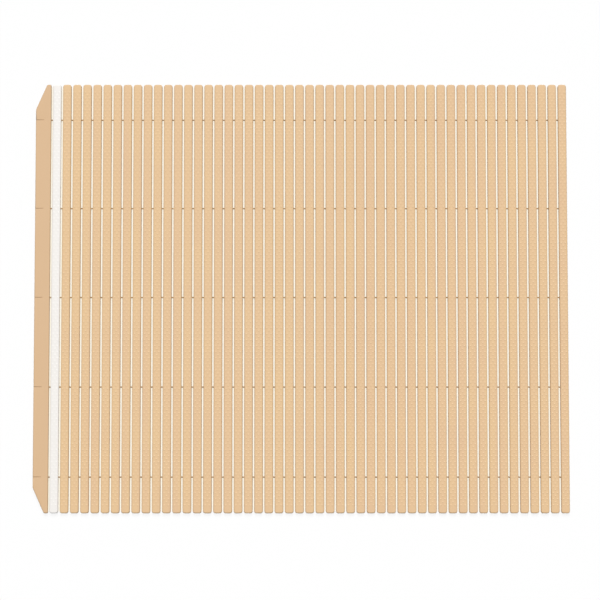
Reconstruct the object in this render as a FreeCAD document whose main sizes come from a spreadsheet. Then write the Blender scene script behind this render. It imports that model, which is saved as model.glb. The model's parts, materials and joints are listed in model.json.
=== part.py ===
import FreeCAD, Part
import Sketcher
import os

# A rolling mat for sushi: a wide end bar, one marker slat and a row of slats, threaded on cross cords.
# X runs across the slats from the end bar to the last slat, Y along the slats and Z up.
# The origin is the middle of the mat's underside. Sizes are in millimetres.

SIZES = (
    ("slat_count", 50),
    ("slat_length", 240.0),
    ("slat_width", 4.85),
    ("slat_height", 3.0),
    ("slat_crown_inset", 0.15),
    ("slat_foot_bevel", 0.5),
    ("slat_edge_round", 0.5),
    ("slat_end_bevel", 0.6),
    ("slat_gap", 0.8),
    ("bar_width", 8.5),
    ("bar_end_width", 2.3),
    ("bar_corner_length", 14.0),
    ("bar_edge_round", 0.5),
    ("cord_count", 5),
    ("cord_margin", 20.0),
    ("cord_diameter", 0.8),
    ("cord_clearance", 0.05),
    ("head_ledge", 0.4),
    ("head_length", 0.9),
    ("head_sink", 0.3),
    ("slit_width", 0.4),
    ("slit_length", 4.5),
    ("overrun", 1.0),
)

# Places and reaches that several pieces share, written in the sheet's sizes
PITCH = "(sizes.slat_width + sizes.slat_gap)"
MAT_WIDTH = f"(sizes.bar_width + (sizes.slat_count + 1) * {PITCH})"
BAR_PLACE = f"((sizes.bar_width - {MAT_WIDTH}) / 2)"
MARKER_PLACE = f"(sizes.bar_width + sizes.slat_gap + sizes.slat_width / 2 - {MAT_WIDTH} / 2)"
CORD_LEVEL = "(sizes.slat_height / 2)"
FIRST_CORD = "(sizes.cord_margin - sizes.slat_length / 2)"
CORD_PITCH = "((sizes.slat_length - 2 * sizes.cord_margin) / (sizes.cord_count - 1))"
BORE_SIDE = "(sizes.cord_diameter + 2 * sizes.cord_clearance)"
HEAD_SIDE = "(sizes.cord_diameter + 2 * sizes.head_ledge)"
SEAT_SIDE = f"({HEAD_SIDE} + 2 * sizes.cord_clearance)"
SEAT_DEPTH = "(sizes.head_sink + sizes.head_length + sizes.cord_clearance)"

# Turns a shape that stands on Z to point along X
ALONG_X = FreeCAD.Rotation(FreeCAD.Vector(0, 1, 0), 90)
# Two places closer than this are the same place
SAME = 1e-6

doc = FreeCAD.newDocument("rolling_mat")
sheet = doc.addObject("Spreadsheet::Sheet", "sizes")
for row, (alias, value) in enumerate(SIZES, start=1):
    sheet.set(f"A{row}", str(value))
    sheet.setAlias(f"A{row}", alias)
doc.recompute()


def size(expression):
    """The present value of an expression in the sheet's sizes."""
    return float(sheet.evalExpression(expression))


def bind(thing, **sizes):
    """Tie properties of an object to the sheet."""
    for name, expression in sizes.items():
        thing.setExpression(name, expression)


def place(thing, **axes):
    """Tie the place of an object to the sheet, axis by axis."""
    for axis, expression in axes.items():
        thing.setExpression(f"Placement.Base.{axis}", expression)


def origin_part(body, role):
    return next(part for part in body.Origin.OriginFeatures if part.Role == role)


def new_sketch(body, name, plane):
    sketch = body.newObject("Sketcher::SketchObject", f"{body.Name}_{name}")
    sketch.AttachmentSupport = (origin_part(body, plane), "")
    sketch.MapMode = "FlatFace"
    return sketch


def draw_loop(sketch, corners):
    """A closed loop of straight lines; line n runs from corner n to the next one."""
    points = [FreeCAD.Vector(size(x), size(y), 0) for x, y in corners]
    for number, point in enumerate(points):
        sketch.addGeometry(Part.LineSegment(point, points[(number + 1) % len(points)]))
    for number in range(len(points)):
        following = (number + 1) % len(points)
        sketch.addConstraint(Sketcher.Constraint("Coincident", number, 2, following, 1))


def corner(number):
    """Corner n of a loop, as the start of line n."""
    return (number, 1)


def sketch_axis(name):
    """The number by which constraints know a sketch's own X or Y axis."""
    return {"X": -1, "Y": -2}[name]


def sketch_origin():
    """A sketch's origin, which is the start of its X axis."""
    return (sketch_axis("X"), 1)


def mirror_corners(sketch, first, second, axis):
    """Keep two corners of a loop mirror images about the sketch's own X or Y axis."""
    line = sketch_axis(axis)
    sketch.addConstraint(Sketcher.Constraint("Symmetric", *corner(first), *corner(second), line))


def dimension(sketch, direction, start, end, expression):
    """A distance along X or Y of the sketch, tied to the sheet."""
    constraint = Sketcher.Constraint(f"Distance{direction}", *start, *end, size(expression))
    number = sketch.addConstraint(constraint)
    sketch.setExpression(f"Constraints[{number}]", expression)


def feature(body, kind, name, **sizes):
    made = body.newObject(f"PartDesign::{kind}", f"{body.Name}_{name}")
    bind(made, **sizes)
    return made


def edges_where(shape, test):
    """Names of the edges whose bounding box passes a test."""
    return [f"Edge{n}" for n, edge in enumerate(shape.Edges, start=1) if test(edge.BoundBox)]


def cut_at_cords(body, name, start, length, width, bottom, height):
    """Cut a box that begins at a start along X, centred on every cord."""
    box = feature(body, "SubtractiveBox", name, Length=length, Width=width, Height=height)
    place(box, x=start, y=f"{FIRST_CORD} - {width} / 2", z=bottom)
    doc.recompute()
    row = feature(body, "LinearPattern", f"{name}_row", Occurrences="sizes.cord_count", Offset=CORD_PITCH)
    row.Originals = [box]
    row.Direction = (origin_part(body, "Y_Axis"), [""])
    row.Mode = "Spacing"
    body.Tip = row
    doc.recompute()


def cut_bores(body, width):
    """The square bores that the cords run through, right across a bar of this width."""
    start = f"-{width} / 2 - sizes.overrun"
    bottom = f"{CORD_LEVEL} - {BORE_SIDE} / 2"
    cut_at_cords(body, "bore", start, f"{width} + 2 * sizes.overrun", BORE_SIDE, bottom, BORE_SIDE)


def cut_head_seats(body, start):
    """Wider seats for the cord heads in an outer face."""
    bottom = f"{CORD_LEVEL} - {SEAT_SIDE} / 2"
    cut_at_cords(body, "seat", start, f"{SEAT_DEPTH} + sizes.overrun", SEAT_SIDE, bottom, SEAT_SIDE)


def make_slat(name):
    """One slat: drafted sides, bevelled feet and ends, round upper edges and the cord bores."""
    body = doc.addObject("PartDesign::Body", name)
    section = new_sketch(body, "section", "XZ_Plane")
    side = "sizes.slat_width / 2"
    foot = f"({side} - sizes.slat_foot_bevel)"
    crown = f"({side} - sizes.slat_crown_inset)"
    corners = [
        (f"-{foot}", "0"),
        (foot, "0"),
        (side, "sizes.slat_foot_bevel"),
        (crown, "sizes.slat_height"),
        (f"-{crown}", "sizes.slat_height"),
        (f"-{side}", "sizes.slat_foot_bevel"),
    ]
    draw_loop(section, corners)
    for left, right in ((0, 1), (5, 2), (4, 3)):
        mirror_corners(section, left, right, "Y")
    section.addConstraint(Sketcher.Constraint("PointOnObject", *corner(0), sketch_axis("X")))
    dimension(section, "X", corner(0), corner(1), f"2 * {foot}")
    dimension(section, "X", corner(5), corner(2), "sizes.slat_width")
    dimension(section, "X", corner(4), corner(3), f"2 * {crown}")
    dimension(section, "Y", corner(1), corner(2), "sizes.slat_foot_bevel")
    dimension(section, "Y", corner(1), corner(3), "sizes.slat_height")

    length = feature(body, "Pad", "length", Length="sizes.slat_length")
    length.Profile = section
    length.SideType = "Symmetric"
    doc.recompute()

    # The upright and the upper edges of both end faces
    foot_top = size("sizes.slat_foot_bevel")
    end_edges = edges_where(length.Shape, lambda box: box.YLength < SAME and box.ZMax > foot_top + SAME)
    ends = feature(body, "Chamfer", "ends", Size="sizes.slat_end_bevel")
    ends.Base = (length, end_edges)
    doc.recompute()

    # The two long edges of the upper face
    top, half = size("sizes.slat_height"), size("sizes.slat_length / 2")
    long_edges = edges_where(ends.Shape, lambda box: box.ZMin > top - SAME and box.YLength > half)
    edges = feature(body, "Fillet", "edges", Radius="sizes.slat_edge_round")
    edges.Base = (ends, long_edges)
    doc.recompute()

    cut_bores(body, "sizes.slat_width")
    return body


def make_end_bar(name):
    """The wide bar at the mat's edge: outer corners cut off in plan, cord bores, head seats and slits."""
    body = doc.addObject("PartDesign::Body", name)
    plan = new_sketch(body, "plan", "XY_Plane")
    half, reach = "sizes.bar_width / 2", "sizes.slat_length / 2"
    cut_x = f"({half} - sizes.bar_end_width)"
    cut_y = f"({reach} - sizes.bar_corner_length)"
    corners = [
        (half, f"-{reach}"),
        (half, reach),
        (cut_x, reach),
        (f"-{half}", cut_y),
        (f"-{half}", f"-{cut_y}"),
        (cut_x, f"-{reach}"),
    ]
    draw_loop(plan, corners)
    for lower, upper in ((0, 1), (5, 2), (4, 3)):
        mirror_corners(plan, lower, upper, "X")
    plan.addConstraint(Sketcher.Constraint("Horizontal", 1))
    dimension(plan, "X", sketch_origin(), corner(1), half)
    dimension(plan, "X", corner(3), corner(1), "sizes.bar_width")
    dimension(plan, "X", corner(2), corner(1), "sizes.bar_end_width")
    dimension(plan, "Y", corner(0), corner(1), "sizes.slat_length")
    dimension(plan, "Y", corner(3), corner(2), "sizes.bar_corner_length")

    height = feature(body, "Pad", "height", Length="sizes.slat_height")
    height.Profile = plan
    doc.recompute()

    top = size("sizes.slat_height")
    edges = feature(body, "Fillet", "edges", Radius="sizes.bar_edge_round")
    edges.Base = (height, edges_where(height.Shape, lambda box: box.ZMin > top - SAME))
    doc.recompute()

    outside = f"-{half} - sizes.overrun"
    cut_bores(body, "sizes.bar_width")
    cut_head_seats(body, outside)
    slit_length = "sizes.slit_length + sizes.overrun"
    slit_height = f"sizes.slat_height - {CORD_LEVEL} + sizes.overrun"
    cut_at_cords(body, "slit", outside, slit_length, "sizes.slit_width", CORD_LEVEL, slit_height)
    return body


def make_cord(name):
    """One cord with its ends melted into square heads, which fill the seats of the outer bars."""
    body = doc.addObject("PartDesign::Body", name)
    tip = f"({MAT_WIDTH} / 2 - sizes.head_sink)"
    reach = f"({tip} - sizes.head_length / 2)"
    thread = feature(
        body, "AdditiveCylinder", "thread", Radius="sizes.cord_diameter / 2", Height=f"2 * {reach}"
    )
    thread.Placement = FreeCAD.Placement(FreeCAD.Vector(), ALONG_X)
    place(thread, x=f"-{reach}")
    for side, start in (("first", f"-{tip}"), ("second", f"{tip} - sizes.head_length")):
        head = feature(
            body,
            "AdditiveBox",
            f"{side}_head",
            Length="sizes.head_length",
            Width=HEAD_SIDE,
            Height=HEAD_SIDE,
        )
        place(head, x=start, y=f"-{HEAD_SIDE} / 2", z=f"-{HEAD_SIDE} / 2")
    doc.recompute()
    return body


pieces = []

bar = make_end_bar("end_bar")
place(bar, x=BAR_PLACE)
pieces.append(bar)

# The marker slat is the pattern for the other slats, which repeat it at the pitch
marker = make_slat("marker_slat")
place(marker, x=MARKER_PLACE)
pieces.append(marker)

slat_total = int(size("sizes.slat_count"))
for number in range(1, slat_total):
    slat = doc.addObject("App::Link", f"slat_{number:02d}")
    slat.LinkedObject = marker
    place(slat, x=f"{MARKER_PLACE} + {number} * {PITCH}")
    pieces.append(slat)

# The last slat also holds the cord heads, in seats on its outer side
last = make_slat(f"slat_{slat_total:02d}")
cut_head_seats(last, f"sizes.slat_width / 2 - {SEAT_DEPTH}")
place(last, x=f"{MARKER_PLACE} + sizes.slat_count * {PITCH}")
pieces.append(last)

for number in range(int(size("sizes.cord_count"))):
    cord = make_cord(f"cord_{number + 1}")
    place(cord, y=f"{FIRST_CORD} + {number} * {CORD_PITCH}", z=CORD_LEVEL)
    pieces.append(cord)

doc.recompute()

for thing in doc.Objects:
    if {"Invalid", "Error"} & set(thing.State):
        raise RuntimeError(f"{thing.Label} failed: {thing.State}")

shapes = {piece.Label: Part.getShape(piece) for piece in pieces}
for label, shape in shapes.items():
    if shape.isNull() or not shape.isValid() or len(shape.Solids) != 1:
        raise RuntimeError(f"{label} is not one sound solid")

os.makedirs("parts", exist_ok=True)
for label, shape in shapes.items():
    shape.exportStep(f"parts/{label}.step")
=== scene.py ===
import json
import math

import bmesh
import bpy
from mathutils import Matrix, Vector

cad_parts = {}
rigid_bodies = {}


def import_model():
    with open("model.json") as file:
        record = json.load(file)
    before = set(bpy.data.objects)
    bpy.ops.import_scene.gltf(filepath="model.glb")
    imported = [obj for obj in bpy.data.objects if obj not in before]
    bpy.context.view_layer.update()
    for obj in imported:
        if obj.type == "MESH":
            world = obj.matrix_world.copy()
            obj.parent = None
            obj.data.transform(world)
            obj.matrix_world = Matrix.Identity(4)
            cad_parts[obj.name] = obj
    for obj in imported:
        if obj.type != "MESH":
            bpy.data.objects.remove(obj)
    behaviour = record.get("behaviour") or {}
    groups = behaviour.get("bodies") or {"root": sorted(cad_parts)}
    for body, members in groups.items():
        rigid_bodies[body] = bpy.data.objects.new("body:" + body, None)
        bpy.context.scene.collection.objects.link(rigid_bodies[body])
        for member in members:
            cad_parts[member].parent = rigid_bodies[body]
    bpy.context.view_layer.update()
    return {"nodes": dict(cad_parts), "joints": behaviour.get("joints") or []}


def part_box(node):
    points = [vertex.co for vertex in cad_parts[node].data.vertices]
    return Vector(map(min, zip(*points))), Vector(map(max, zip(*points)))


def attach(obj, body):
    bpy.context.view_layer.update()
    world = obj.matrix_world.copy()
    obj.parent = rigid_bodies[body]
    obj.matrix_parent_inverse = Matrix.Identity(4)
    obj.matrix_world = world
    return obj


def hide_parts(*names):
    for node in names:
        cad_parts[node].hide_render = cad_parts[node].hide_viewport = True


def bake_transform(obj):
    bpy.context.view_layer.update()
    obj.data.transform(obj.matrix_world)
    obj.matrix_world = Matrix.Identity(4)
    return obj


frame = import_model()

# A rolling mat for sushi: embossed plastic slats and a wide end bar, threaded on twisted cords.
# Lengths below are in millimetres and go into the meshes in metres.
MM = 0.001

# The bars in their order from the end bar to the last slat, and the cords across them
BARS = [frame["joints"][0]["parent"]] + [joint["child"] for joint in frame["joints"]]
END_BAR, MARKER, LAST = BARS[0], BARS[1], BARS[-1]
CORDS = sorted(name for name in frame["nodes"] if name.startswith("cord_"))


def span(node):
    """A CAD node's lowest and highest corner, in millimetres."""
    low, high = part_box(node)
    return low / MM, high / MM


def middle(node):
    low, high = span(node)
    return (low + high) / 2


CORD_PLACES = [middle(cord).y for cord in CORDS]
CORD_LEVEL = middle(CORDS[0]).z
SLAT_LOW, SLAT_HIGH = span(MARKER)
SLAT_WIDTH, SLAT_LENGTH, SLAT_HEIGHT = SLAT_HIGH - SLAT_LOW
PITCH = middle(BARS[2]).x - middle(BARS[1]).x

# Slack for points that meet, and the cosine above which a face counts as facing an axis
PLANE_SLACK = 1e-6
WELD = 1e-4
FACING = 0.9

# Slat: rounds, and the staggered domes of its embossed face, which are lower on the marker slat
CROWN_INSET = 0.15
CORNER_ROUND = 1.2
EDGE_ROUND = 0.5
FOOT_ROUND = 0.5
ROUND_SEGMENTS = 4
FOOT_SEGMENTS = 2
DOME_HEIGHT = 0.16
MARKER_DOME_HEIGHT = 0.06
DOME_CELL = 1.1
DOME_MARGIN = 0.09
DOME_STEP = 1.7
DOME_ROWS = 68
# Each stage of a dome: how far it draws in, and its share of the height
DOME_STAGES = ((0.12, 0.6), (0.15, 0.4))
LAND = SLAT_HEIGHT - DOME_HEIGHT
MARKER_LAND = SLAT_HEIGHT - MARKER_DOME_HEIGHT

# End bar: plan corners that are cut off, and the slits over the cords
BAR_END_WIDTH = 2.3
BAR_CORNER_LENGTH = 14.0
BAR_CORNER_ROUND = 0.65
BAR_FOOT_ROUND = 0.3
SLIT_WIDTH = 0.22
SLIT_LENGTH = 4.5
SLIT_FLOOR = 2.4
# Edges as near as this to the inner wall are its own, and not a slit's
INNER_WALL = 0.1

# Cord, the bores that it runs in and the seats of its melted heads
CORD_RADIUS = 0.4
PLIES = 3
PLY_POINTS = 3
PLY_GROOVE = 0.8
TURNS_PER_PITCH = 2
CORD_STEPS = 24
BORE_RADIUS = 0.52
SEAT_RADIUS = 0.72
SEAT_DEPTH = 1.25
HEAD_SINK = 0.3
# A head's outline from its dimple over its rim to its back: depth in the seat, and radius
HEAD_OUTLINE = (
    (0.12, 0.0), (0.05, 0.2), (0.0, 0.42), (0.1, 0.58),
    (0.35, 0.66), (0.7, 0.6), (0.88, 0.4), (0.9, 0.0),
)
HEAD_STEPS = 14
RING_POINTS = 12
WINDOW_MARGIN = 0.1
LEAD_IN = 0.05

# Colours: the plain one, the one that it clouds to, and the one up on the crowns, which carries
# painted light on the slats
# Tan: the lighter crown colour is a painted highlight on the dome tops
TAN = (0.795, 0.55, 0.296, 1), (0.76, 0.511, 0.309, 1), (0.855, 0.619, 0.383, 1)
# End bar: a little lighter on its top and upper rounding
BAR_TAN = (0.68, 0.447, 0.25, 1), (0.64, 0.406, 0.225, 1), (0.697, 0.466, 0.268, 1)
# White: the plain colour is painted lighter for the walls in the shade of the gaps, and the darker
# crown colour covers the top
MARKER_WHITE = (0.97, 0.955, 0.935, 1), (0.95, 0.925, 0.895, 1), (0.911, 0.879, 0.84, 1)
CORD_DARK, CORD_LIGHT = (0.36, 0.2, 0.08, 1), (0.6, 0.39, 0.185, 1)
WHITE = (1, 1, 1, 1)
FLOOR_GREY = (0.45, 0.45, 0.45, 1)
# Painted warm bounce light on the floor down in the gaps
PAINTED_GAP_BOUNCE = (1, 0.925, 0.76, 1)

# Plastic: noise scales per metre, their shares in the clouding, and the surface
CLOUD_SCALE = 45.0
FLOW_STRETCH = (900.0, 22.0, 900.0)
GRAIN_SCALE = 2600.0
FINE_NOISE = 0.6
CLOUD_SHARE, FLOW_SHARE, TINT_SHARE, GRAIN_SHARE = 0.45, 0.25, 0.2, 0.1
UNEVEN_LOW, UNEVEN_HIGH = 0.25, 0.75
SOFT_LOW, SOFT_HIGH = 0.6, 1.4
ROUGH_LOW, ROUGH_HIGH = 0.44, 0.6
GRAIN_RELIEF_SHARE, FLOW_RELIEF_SHARE = 0.7, 0.3
CROWN_POLISH = 0.06
CROWN_START = 0.02
MARKER_GLOSS = 0.15
PLASTIC_IOR = 1.49
PLASTIC_SPECULAR = 0.35
GRAIN_DEPTH = 0.03
GRAIN_STRENGTH = 0.35

# Cord: fibres along the thread
FIBRE_STRETCH = (1500.0, 9000.0, 9000.0)
PATCH_SCALE = 300.0
FIBRE_SHARE, PATCH_SHARE = 0.7, 0.3
FIBRE_LOW, FIBRE_HIGH = 0.3, 0.7
CORD_ROUGH_LOW, CORD_ROUGH_HIGH = 0.7, 0.9
FIBRE_DEPTH = 0.05
FIBRE_STRENGTH = 0.6
CORD_SHEEN = 0.2

# Studio: floor, light and camera, in metres but for the reaches into gaps and under the mat
FLOOR_HALF = 6.0
FLOOR_DROP = 0.00005
FLOOR_SHADOW = 0.12
GAP_SHADOW_SHARE = 0.2
GAP_REACH = 4
GAP_OPEN, GAP_SHUT = 0.5, 0.15
UNDERSIDE_REACH = 0.3
STUDIO_LIGHT = 0.3
LAMP_PLACE = (0.0, 0.6, 1.0)
LAMP_SPREAD = math.radians(30)
LAMP_STRENGTH = 2.5
CAMERA_AIM = (-0.0007, -0.00118, 0.0)
CAMERA_DISTANCE = 2.0
CAMERA_TILT = math.radians(7.22)
CAMERA_LENS = 215.67
CAMERA_SENSOR = 36.0
CAMERA_REACH = 50.0


def with_rims(faces):
    """Faces together with their edges and corners."""
    parts = set(faces)
    for face in faces:
        parts.update(face.edges)
        parts.update(face.verts)
    return list(parts)


def faces_of(made):
    return [part for part in made if isinstance(part, bmesh.types.BMFace)]


def verts_of(made):
    return [part for part in made if isinstance(part, bmesh.types.BMVert)]


def cut(bm, faces, place, across):
    """Cut faces with a plane and give back all the faces that they became."""
    made = bmesh.ops.bisect_plane(
        bm, geom=with_rims(faces), dist=PLANE_SLACK, plane_co=place, plane_no=across
    )
    return faces_of(made["geom"])


def round_edges(bm, edges, radius, segments):
    bmesh.ops.bevel(
        bm, geom=edges, offset=radius, offset_type="OFFSET", affect="EDGES",
        segments=segments, profile=0.5, material=-1,
    )


def rim_at(bm, level):
    """The edges that lie at one height between a level face and a steeper one."""
    found = []
    for edge in bm.edges:
        if all(abs(vert.co.z - level) < WELD for vert in edge.verts):
            tilts = [abs(face.normal.z) for face in edge.link_faces]
            if min(tilts) < FACING < max(tilts):
                found.append(edge)
    return found


def upright_edges(bm, height):
    """The edges that run up the corners of a block."""
    return [edge for edge in bm.edges if abs(edge.verts[0].co.z - edge.verts[1].co.z) > height / 2]


def to_mesh(bm, name):
    """Close the form, turn its faces outwards and put it in metres."""
    bmesh.ops.remove_doubles(bm, verts=bm.verts, dist=WELD)
    bmesh.ops.recalc_face_normals(bm, faces=bm.faces)
    loose = [edge for edge in bm.edges if not edge.is_contiguous]
    if loose:
        raise RuntimeError(f"{name} has {len(loose)} open or turned edges")
    bmesh.ops.scale(bm, vec=(MM, MM, MM), verts=bm.verts)
    mesh = bpy.data.meshes.new(name)
    bm.to_mesh(mesh)
    bm.free()
    mesh.shade_smooth()
    return mesh


def add_piece(name, mesh, material):
    piece = bpy.data.objects.new(name, mesh)
    bpy.context.scene.collection.objects.link(piece)
    mesh.materials.clear()
    mesh.materials.append(material)
    return piece


def even_normals(piece):
    """Keep flat faces flat beside their rounded edges."""
    finish = piece.modifiers.new("even normals", "WEIGHTED_NORMAL")
    finish.keep_sharp = True


def window(bm, side, place, half):
    """Open a square window round a cord's line in the side wall of a bar."""
    walls = []
    for face in bm.faces:
        reach = [vert.co.y for vert in face.verts]
        covers = min(reach) < place - half and max(reach) > place + half
        if face.normal.x * side > FACING and covers:
            walls.append(face)
    pane = max(walls, key=lambda face: face.calc_area())
    for across in (Vector((0, 1, 0)), Vector((0, 0, 1))):
        for way in (-half, half):
            line = Vector((0, place, CORD_LEVEL)) + across * way
            parts = cut(bm, [pane], line, across)
            pane = min(
                parts, key=lambda part: (part.calc_center_bounds() - line).dot(across) * way
            )
    rim = list(pane.edges)
    bmesh.ops.delete(bm, geom=[pane], context="FACES_ONLY")
    bmesh.ops.bisect_edges(bm, edges=rim, cuts=RING_POINTS // 4 - 1)


def rim_of_window(bm, side):
    return [edge for edge in bm.edges if edge.is_boundary and edge.verts[0].co.x * side > 0]


def ring(bm, x, y, radius):
    """A ring of edges round a cord's line, with its corners at those of a window."""
    turn = Matrix.Rotation(math.pi / 2, 4, "Y") @ Matrix.Rotation(math.pi / RING_POINTS, 4, "Z")
    at = Matrix.Translation((x, y, CORD_LEVEL)) @ turn
    made = bmesh.ops.create_circle(bm, segments=RING_POINTS, radius=radius, matrix=at)
    return list({edge for vert in made["verts"] for edge in vert.link_edges})


def bore(bm, y, stations):
    """A round hole right through a bar, along stations that give each ring's place and radius."""
    half = max(radius for place, radius in stations) + WINDOW_MARGIN
    for side in (-1, 1):
        window(bm, side, y, half)
    rings = [ring(bm, place, y, radius) for place, radius in stations]
    loops = [rim_of_window(bm, -1)] + rings + [rim_of_window(bm, 1)]
    for near, far in zip(loops, loops[1:]):
        bmesh.ops.bridge_loops(bm, edges=near + far)


def emboss(bm, face, dome_height):
    """Raise staggered rows of small domes on the upper face of a slat."""
    strips = [face]
    for side in (-1, 1):
        strips = cut(bm, strips, (side * DOME_CELL / 2, 0, 0), (1, 0, 0))
    cells = []
    ahead = strips
    for row in range(-DOME_ROWS, DOME_ROWS + 1):
        for side in (-1, 1):
            level = row * DOME_STEP + side * DOME_CELL / 2
            parts = cut(bm, ahead, (0, level, 0), (0, 1, 0))
            ahead = [part for part in parts if part.calc_center_bounds().y > level]
            passed = [part for part in parts if part.calc_center_bounds().y < level]
        inner = row % 2 == 1
        for part in passed:
            at_middle = abs(part.calc_center_bounds().x) < DOME_CELL / 2
            if at_middle == inner:
                cells.append(part)

    bmesh.ops.inset_individual(bm, faces=cells, thickness=DOME_MARGIN, use_even_offset=True)
    edges = list({edge for cell in cells for edge in cell.edges})
    bmesh.ops.bisect_edges(bm, edges=edges, cuts=1)
    shrink = math.sqrt(0.5)
    for cell in cells:
        centre = cell.calc_center_bounds()
        corners = sorted(cell.verts, key=lambda vert: (vert.co - centre).length)[4:]
        bmesh.ops.scale(
            bm, vec=(shrink, shrink, 1), space=Matrix.Translation(-centre), verts=corners
        )
    for inset, rise in DOME_STAGES:
        bmesh.ops.inset_individual(
            bm, faces=cells, thickness=inset, depth=rise * dome_height, use_even_offset=True
        )


def slat_mesh(name, seats, dome_height=DOME_HEIGHT):
    """One slat round its own middle: drawn-in sides, round edges and ends, domes and bores."""
    land = SLAT_HEIGHT - dome_height
    bm = bmesh.new()
    size = Matrix.Diagonal((SLAT_WIDTH, SLAT_LENGTH, land, 1))
    bmesh.ops.create_cube(bm, size=1, matrix=Matrix.Translation((0, 0, land / 2)) @ size)
    upper = [vert for vert in bm.verts if vert.co.z > land / 2]
    bmesh.ops.scale(bm, vec=(1 - 2 * CROWN_INSET / SLAT_WIDTH, 1, 1), verts=upper)
    round_edges(bm, upright_edges(bm, land), CORNER_ROUND, ROUND_SEGMENTS)
    bm.normal_update()
    round_edges(bm, rim_at(bm, land), EDGE_ROUND, ROUND_SEGMENTS)
    round_edges(bm, rim_at(bm, 0), FOOT_ROUND, FOOT_SEGMENTS)
    bm.normal_update()

    mouth = SLAT_WIDTH / 2 - CROWN_INSET * CORD_LEVEL / land - LEAD_IN
    for y in CORD_PLACES:
        stations = [(-mouth, BORE_RADIUS)]
        if seats:
            floor = SLAT_WIDTH / 2 - SEAT_DEPTH
            stations += [(floor - LEAD_IN, BORE_RADIUS)]
            stations += [(floor, SEAT_RADIUS), (mouth, SEAT_RADIUS)]
        else:
            stations.append((mouth, BORE_RADIUS))
        bore(bm, y, stations)
        bm.normal_update()

    face = max(bm.faces, key=lambda face: face.calc_area() * face.normal.z)
    emboss(bm, face, dome_height)
    return to_mesh(bm, name)


def from_cord(y):
    """How far a place along the slats lies from the nearest cord."""
    return min(abs(y - place) for place in CORD_PLACES)


def end_bar_mesh(name):
    """The wide bar round its own middle: cut plan corners, round edges, slits, bores and seats."""
    low, high = span(END_BAR)
    width, length, height = high - low
    half, reach = width / 2, length / 2
    cut_x, cut_y = half - BAR_END_WIDTH, reach - BAR_CORNER_LENGTH
    plan = [
        (half, -reach), (half, reach), (cut_x, reach),
        (-half, cut_y), (-half, -cut_y), (cut_x, -reach),
    ]
    bm = bmesh.new()
    corners = [bm.verts.new((x, y, 0)) for x, y in plan]
    base = bm.faces.new(corners)
    bm.normal_update()
    made = bmesh.ops.extrude_face_region(bm, geom=with_rims([base]))
    bmesh.ops.translate(bm, vec=(0, 0, SLIT_FLOOR), verts=verts_of(made["geom"]))
    bm.normal_update()
    round_edges(bm, upright_edges(bm, SLIT_FLOOR), BAR_CORNER_ROUND, ROUND_SEGMENTS)
    bm.normal_update()

    # The upper layer is drawn up from all of the plan but the slits
    level = [face for face in bm.faces if face.calc_center_bounds().z > SLIT_FLOOR - WELD]
    for y in CORD_PLACES:
        for side in (-1, 1):
            level = cut(bm, level, (0, y + side * SLIT_WIDTH / 2, 0), (0, 1, 0))
    rest = []
    inner_end = SLIT_LENGTH - half
    for face in level:
        if from_cord(face.calc_center_bounds().y) < SLIT_WIDTH / 2:
            parts = cut(bm, [face], (inner_end, 0, 0), (1, 0, 0))
            rest += [part for part in parts if part.calc_center_bounds().x >= inner_end]
        else:
            rest.append(face)
    made = bmesh.ops.extrude_face_region(bm, geom=with_rims(rest))
    bmesh.ops.translate(bm, vec=(0, 0, height - SLIT_FLOOR), verts=verts_of(made["geom"]))
    bmesh.ops.recalc_face_normals(bm, faces=bm.faces)

    def beside_slit(edge):
        at = (edge.verts[0].co + edge.verts[1].co) / 2
        return from_cord(at.y) < SLIT_WIDTH and at.x < half - INNER_WALL

    rim = [edge for edge in rim_at(bm, height) if not beside_slit(edge)]
    round_edges(bm, rim, EDGE_ROUND, ROUND_SEGMENTS)
    round_edges(bm, rim_at(bm, 0), BAR_FOOT_ROUND, FOOT_SEGMENTS)
    bmesh.ops.recalc_face_normals(bm, faces=bm.faces)
    mouth, floor = half - LEAD_IN, SEAT_DEPTH - half
    for y in CORD_PLACES:
        stations = [(-mouth, SEAT_RADIUS), (floor, SEAT_RADIUS)]
        stations += [(floor + LEAD_IN, BORE_RADIUS), (mouth, BORE_RADIUS)]
        bore(bm, y, stations)
        bm.normal_update()
    return to_mesh(bm, name)


def cord_stretch(bm, start, end, y):
    """A twisted stretch of cord along X, with its plies in step with those of its neighbours."""
    step = PITCH / CORD_STEPS
    steps = round((end - start) / step)
    turn = 2 * math.pi * TURNS_PER_PITCH / PITCH
    points = PLIES * PLY_POINTS
    at = (
        Matrix.Translation((start, y, CORD_LEVEL))
        @ Matrix.Rotation(turn * start, 4, "X")
        @ Matrix.Rotation(math.pi / 2, 4, "Y")
    )
    made = bmesh.ops.create_circle(
        bm, cap_ends=True, segments=points, radius=CORD_RADIUS, matrix=at
    )
    grooves = made["verts"][::PLY_POINTS]
    axis_at = Vector((start, y, CORD_LEVEL))
    bmesh.ops.scale(
        bm, vec=(1, PLY_GROOVE, PLY_GROOVE), space=Matrix.Translation(-axis_at), verts=grooves
    )
    cap = made["verts"][0].link_faces[0]
    bmesh.ops.spin(
        bm, geom=[cap], cent=axis_at, axis=(1, 0, 0), dvec=((end - start) / steps, 0, 0),
        angle=turn * (end - start), steps=steps, use_merge=False, use_duplicate=False,
    )


def cord_mesh(name, start, end):
    bm = bmesh.new()
    for y in CORD_PLACES:
        cord_stretch(bm, start, end, y)
    return to_mesh(bm, name)


def head_mesh(name, face, inwards):
    """Melted cord ends in their seats: flat buttons with a soft rim and a small dimple."""
    bm = bmesh.new()
    for y in CORD_PLACES:
        line = []
        for depth, radius in HEAD_OUTLINE:
            x = face + inwards * (HEAD_SINK + depth)
            line.append(bm.verts.new((x, y, CORD_LEVEL + radius)))
        edges = [bm.edges.new(pair) for pair in zip(line, line[1:])]
        bmesh.ops.spin(
            bm, geom=line + edges, cent=(face, y, CORD_LEVEL), axis=(1, 0, 0),
            angle=2 * math.pi, steps=HEAD_STEPS, use_merge=True,
        )
    return to_mesh(bm, name)


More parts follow.
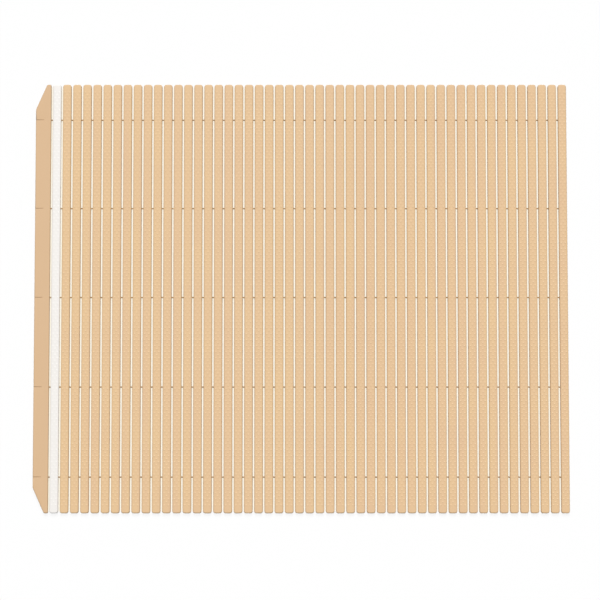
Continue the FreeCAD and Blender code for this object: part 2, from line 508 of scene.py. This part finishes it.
class Nodes:
    """Short ways to add and join the nodes of one tree."""

    def __init__(self, tree):
        self.tree = tree
        tree.nodes.clear()

    def add(self, kind, inputs=None, **settings):
        node = self.tree.nodes.new(kind)
        for name, value in settings.items():
            setattr(node, name, value)
        for name, value in (inputs or {}).items():
            socket = node.inputs[name]
            if isinstance(value, bpy.types.NodeSocket):
                self.tree.links.new(value, socket)
            else:
                socket.default_value = value
        return node

    def math(self, operation, *values):
        inputs = dict(enumerate(values))
        return self.add("ShaderNodeMath", inputs, operation=operation).outputs[0]

    def remap(self, value, low, high, to_low, to_high):
        sockets = {"Value": value, "From Min": low, "From Max": high}
        sockets.update({"To Min": to_low, "To Max": to_high})
        return self.add("ShaderNodeMapRange", sockets).outputs[0]

    def noise(self, vector, scale, detail, roughness=0.5):
        sockets = {"Vector": vector, "Scale": scale, "Detail": detail, "Roughness": roughness}
        return self.add("ShaderNodeTexNoise", sockets).outputs["Fac"]

    def stretched(self, vector, scale):
        return self.add("ShaderNodeMapping", {"Vector": vector, "Scale": scale}).outputs[0]

    def mix(self, factor, first, second):
        """Mix two colours, by the numbers of a mix node's sockets for colours."""
        sockets = {0: factor, 6: first, 7: second}
        return self.add("ShaderNodeMix", sockets, data_type="RGBA").outputs[2]


def group_sockets(tree, inputs, outputs):
    for name, kind in inputs:
        tree.interface.new_socket(name, in_out="INPUT", socket_type=f"NodeSocket{kind}")
    for name, kind in outputs:
        tree.interface.new_socket(name, in_out="OUTPUT", socket_type=f"NodeSocket{kind}")


def moulded_skin():
    """Moulded plastic: slow clouding, flow lines along the slats, a tint to each bar, and grain."""
    tree = bpy.data.node_groups.new("moulded skin", "ShaderNodeTree")
    group_sockets(
        tree,
        [("Place", "Vector"), ("Colour", "Color"), ("Shade", "Color"), ("Unevenness", "Float")],
        [("Colour", "Color"), ("Roughness", "Float"), ("Height", "Float")],
    )
    n = Nodes(tree)
    given = n.add("NodeGroupInput").outputs
    place = given["Place"]
    cloud = n.noise(place, CLOUD_SCALE, detail=3.0)
    flow = n.noise(n.stretched(place, FLOW_STRETCH), 1.0, detail=2.0)
    grain = n.noise(place, GRAIN_SCALE, detail=2.0, roughness=FINE_NOISE)
    across = n.add("ShaderNodeSeparateXYZ", {"Vector": place}).outputs["X"]
    number = n.math("FLOOR", n.math("DIVIDE", across, PITCH * MM))
    dice = n.add("ShaderNodeTexWhiteNoise", {"W": number}, noise_dimensions="1D")
    tint = dice.outputs["Value"]
    uneven = n.math("MULTIPLY", cloud, CLOUD_SHARE)
    uneven = n.math("ADD", uneven, n.math("MULTIPLY", flow, FLOW_SHARE))
    uneven = n.math("ADD", uneven, n.math("MULTIPLY", tint, TINT_SHARE))
    uneven = n.math("ADD", uneven, n.math("MULTIPLY", grain, GRAIN_SHARE))
    share = n.remap(uneven, UNEVEN_LOW, UNEVEN_HIGH, 0.0, 1.0)
    share = n.math("MULTIPLY", share, given["Unevenness"])
    colour = n.mix(share, given["Colour"], given["Shade"])
    soft = n.math("ADD", grain, cloud)
    rough = n.remap(soft, SOFT_LOW, SOFT_HIGH, ROUGH_LOW, ROUGH_HIGH)
    height = n.math("MULTIPLY", grain, GRAIN_RELIEF_SHARE)
    height = n.math("ADD", height, n.math("MULTIPLY", flow, FLOW_RELIEF_SHARE))
    n.add("NodeGroupOutput", {"Colour": colour, "Roughness": rough, "Height": height})
    return tree


def crown_colour_and_painted_light():
    """A colour on the crowns above a height, which paints light on the slats, and a mask of where
    it is.
    """
    tree = bpy.data.node_groups.new("crown colour and painted light", "ShaderNodeTree")
    group_sockets(
        tree,
        [
            ("Place", "Vector"), ("Colour", "Color"), ("Crown", "Color"),
            ("Low", "Float"), ("High", "Float"),
        ],
        [("Colour", "Color"), ("Mask", "Float")],
    )
    n = Nodes(tree)
    given = n.add("NodeGroupInput").outputs
    level = n.add("ShaderNodeSeparateXYZ", {"Vector": given["Place"]}).outputs["Z"]
    mask = n.remap(level, given["Low"], given["High"], 0.0, 1.0)
    colour = n.mix(mask, given["Colour"], given["Crown"])
    n.add("NodeGroupOutput", {"Colour": colour, "Mask": mask})
    return tree


def new_material(name):
    material = bpy.data.materials.new(name)
    material.use_nodes = True
    return material, Nodes(material.node_tree)


def plastic(name, colours, unevenness, crown_from, crown_to, gloss=0.0):
    """Moulded plastic whose colour goes over to that of its crowns between two heights, as painted
    light on the slats.
    """
    colour, shade, crown = colours
    material, n = new_material(name)
    place = n.add("ShaderNodeTexCoord").outputs["Object"]
    made = n.add(
        "ShaderNodeGroup",
        {"Place": place, "Colour": colour, "Shade": shade, "Unevenness": unevenness},
        node_tree=skin,
    ).outputs
    # Crown colour over the plain one: a painted highlight on the tan domes, painted light on the
    # white slat's walls
    crown_lit = n.add(
        "ShaderNodeGroup",
        {
            "Place": place,
            "Colour": made["Colour"],
            "Crown": crown,
            "Low": crown_from * MM,
            "High": crown_to * MM,
        },
        node_tree=crown_light_tree,
    ).outputs
    polish = n.math("MULTIPLY", crown_lit["Mask"], CROWN_POLISH)
    rough = n.math("SUBTRACT", made["Roughness"], polish)
    rough = n.math("SUBTRACT", rough, gloss)
    bump = n.add(
        "ShaderNodeBump",
        {"Height": made["Height"], "Strength": GRAIN_STRENGTH, "Distance": GRAIN_DEPTH * MM},
    )
    shader = n.add(
        "ShaderNodeBsdfPrincipled",
        {
            "Base Color": crown_lit["Colour"],
            "Roughness": rough,
            "IOR": PLASTIC_IOR,
            "Specular IOR Level": PLASTIC_SPECULAR,
            "Normal": bump.outputs[0],
        },
    )
    n.add("ShaderNodeOutputMaterial", {"Surface": shader.outputs[0]})
    return material


def twisted_cord(name):
    """Brown twisted thread, mottled along its fibres."""
    material, n = new_material(name)
    place = n.add("ShaderNodeTexCoord").outputs["Object"]
    fibre = n.noise(n.stretched(place, FIBRE_STRETCH), 1.0, detail=3.0, roughness=FINE_NOISE)
    patch = n.noise(place, PATCH_SCALE, detail=2.0)
    share = n.math("MULTIPLY", fibre, FIBRE_SHARE)
    share = n.math("ADD", share, n.math("MULTIPLY", patch, PATCH_SHARE))
    share = n.remap(share, FIBRE_LOW, FIBRE_HIGH, 0.0, 1.0)
    colour = n.mix(share, CORD_DARK, CORD_LIGHT)
    rough = n.remap(fibre, FIBRE_LOW, FIBRE_HIGH, CORD_ROUGH_LOW, CORD_ROUGH_HIGH)
    bump = n.add(
        "ShaderNodeBump",
        {"Height": fibre, "Strength": FIBRE_STRENGTH, "Distance": FIBRE_DEPTH * MM},
    )
    shader = n.add(
        "ShaderNodeBsdfPrincipled",
        {
            "Base Color": colour,
            "Roughness": rough,
            "Sheen Weight": CORD_SHEEN,
            "Normal": bump.outputs[0],
        },
    )
    n.add("ShaderNodeOutputMaterial", {"Surface": shader.outputs[0]})
    return material


skin, crown_light_tree = moulded_skin(), crown_colour_and_painted_light()
# Lighter dome tops: a painted highlight
tan_slat = plastic(
    "tan embossed plastic", TAN, unevenness=1.0, crown_from=LAND + CROWN_START, crown_to=SLAT_HEIGHT
)
tan_bar = plastic(
    "tan smooth plastic", BAR_TAN, unevenness=0.6,
    crown_from=SLAT_HEIGHT - EDGE_ROUND, crown_to=SLAT_HEIGHT,
)
# Darker top over lighter walls: painted light against the walls' shade in the gaps
white_slat = plastic(
    "white embossed plastic", MARKER_WHITE, unevenness=0.5,
    crown_from=LAND, crown_to=MARKER_LAND, gloss=MARKER_GLOSS,
)
cord_brown = twisted_cord("brown twisted cord")


def stand_for(piece, node):
    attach(piece, node)
    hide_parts(node)
    even_normals(piece)


def placed(mesh, node):
    """A copy of a mesh that was made round its own middle, at a node's place."""
    copy = mesh.copy()
    copy.name = node
    at = middle(node) * MM
    copy.transform(Matrix.Translation((at.x, at.y, 0)))
    return copy


bar = add_piece("smooth_end_bar", placed(end_bar_mesh("end bar form"), END_BAR), tan_bar)
stand_for(bar, END_BAR)

plain_slat = slat_mesh("slat form", seats=False)
seated_slat = slat_mesh("last slat form", seats=True)
marker_slat = slat_mesh("marker slat form", seats=False, dome_height=MARKER_DOME_HEIGHT)
forms = {MARKER: marker_slat, LAST: seated_slat}
for node in BARS[1:]:
    form = forms.get(node, plain_slat)
    material = white_slat if node == MARKER else tan_slat
    piece = add_piece(f"embossed_{node}", placed(form, node), material)
    stand_for(piece, node)

# The cords in one piece for each gap, between the two bars
outer_face = span(END_BAR)[0].x
last_face = span(LAST)[1].x
for number, (near, far) in enumerate(zip(BARS, BARS[1:]), start=1):
    start = outer_face + SEAT_DEPTH if near == END_BAR else middle(near).x
    end = last_face - SEAT_DEPTH if far == LAST else middle(far).x
    stretch = cord_mesh(f"cords {number}", start, end)
    piece = add_piece(f"cords_at_gap_{number:02d}", stretch, cord_brown)
    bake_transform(piece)
    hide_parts(*CORDS)

for node, face, inwards in ((END_BAR, outer_face, 1), (LAST, last_face, -1)):
    heads = head_mesh(f"heads in {node}", face, inwards)
    piece = add_piece(f"cord_heads_in_{node}", heads, cord_brown)
    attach(piece, node)


def seen_straight(n, path):
    """1 for rays from the camera, a gloss or a glass, which see the plain white of the studio."""
    seen = n.math("MAXIMUM", path["Is Camera Ray"], path["Is Glossy Ray"])
    return n.math("MAXIMUM", seen, path["Is Transmission Ray"])


def studio_floor(shadow_share):
    """White floor over a white studio: a share of its own shading keeps the mat's soft shadow."""
    bm = bmesh.new()
    bmesh.ops.create_grid(bm, x_segments=1, y_segments=1, size=FLOOR_HALF)
    bmesh.ops.translate(bm, vec=(0, 0, -FLOOR_DROP), verts=bm.verts)
    mesh = bpy.data.meshes.new("floor")
    bm.to_mesh(mesh)
    bm.free()
    material, n = new_material("white floor")
    path = n.add("ShaderNodeLightPath").outputs
    seen = seen_straight(n, path)
    # Down in the narrow gaps the white gets a painted warm tint that stands in for light bounced
    # off the tan walls, and shows less of its own shadow
    opening = n.add("ShaderNodeAmbientOcclusion", {"Distance": GAP_REACH * MM}).outputs["AO"]
    shut_in = n.remap(opening, GAP_OPEN, GAP_SHUT, 0.0, 1.0)
    share = n.remap(shut_in, 0.0, 1.0, shadow_share, GAP_SHADOW_SHARE * shadow_share)
    clear = n.math("MULTIPLY", seen, n.math("SUBTRACT", 1.0, share))
    # Light passes to and from what lies under the floor in a pose, and to the mat's underside
    from_below = n.add("ShaderNodeNewGeometry").outputs["Backfacing"]
    from_underside = n.math("LESS_THAN", path["Ray Length"], UNDERSIDE_REACH * MM)
    clear = n.math("MAXIMUM", clear, n.math("MAXIMUM", from_below, from_underside))
    # Painted bounce light: warm where the floor is shut in
    tint = n.mix(shut_in, WHITE, PAINTED_GAP_BOUNCE)
    own = n.mix(seen, FLOOR_GREY, WHITE)
    lit = n.add("ShaderNodeBsdfDiffuse", {"Color": own})
    through = n.add("ShaderNodeBsdfTransparent", {"Color": tint})
    mixed = n.add("ShaderNodeMixShader", {0: clear, 1: lit.outputs[0], 2: through.outputs[0]})
    n.add("ShaderNodeOutputMaterial", {"Surface": mixed.outputs[0]})
    floor = add_piece("floor", mesh, material)


def soft_lamp(name, towards, spread, strength):
    """Even light from far off, out of a wide patch of the sky."""
    lamp = bpy.data.lights.new(name, "SUN")
    lamp.angle = spread
    lamp.energy = strength
    holder = bpy.data.objects.new(name, lamp)
    bpy.context.scene.collection.objects.link(holder)
    holder.location = towards
    holder.rotation_euler = (-Vector(towards)).to_track_quat("-Z", "Y").to_euler()


def studio_world(strength):
    """White all round: plain white to look at, and weaker as a light."""
    world = bpy.data.worlds.new("white studio")
    world.use_nodes = True
    bpy.context.scene.world = world
    n = Nodes(world.node_tree)
    seen = seen_straight(n, n.add("ShaderNodeLightPath").outputs)
    light = n.add("ShaderNodeBackground", {"Color": WHITE, "Strength": strength})
    white = n.add("ShaderNodeBackground", {"Color": WHITE, "Strength": 1.0})
    mixed = n.add("ShaderNodeMixShader", {0: seen, 1: light.outputs[0], 2: white.outputs[0]})
    n.add("ShaderNodeOutputWorld", {"Surface": mixed.outputs[0]})


def straight_camera(aim, distance, tilt, lens):
    """A camera high over the mat, tilted a little towards the near ends of the slats."""
    data = bpy.data.cameras.new("camera")
    data.sensor_width = CAMERA_SENSOR
    data.lens = lens
    data.clip_end = CAMERA_REACH
    camera = bpy.data.objects.new("camera", data)
    bpy.context.scene.collection.objects.link(camera)
    back = Vector((0, -math.sin(tilt), math.cos(tilt)))
    camera.location = Vector(aim) + back * distance
    camera.rotation_euler = (tilt, 0, 0)
    bpy.context.scene.camera = camera


studio_floor(FLOOR_SHADOW)
studio_world(STUDIO_LIGHT)
soft_lamp("from the far side", LAMP_PLACE, LAMP_SPREAD, LAMP_STRENGTH)
straight_camera(CAMERA_AIM, CAMERA_DISTANCE, CAMERA_TILT, CAMERA_LENS)
bpy.context.scene.view_settings.view_transform = "Standard"
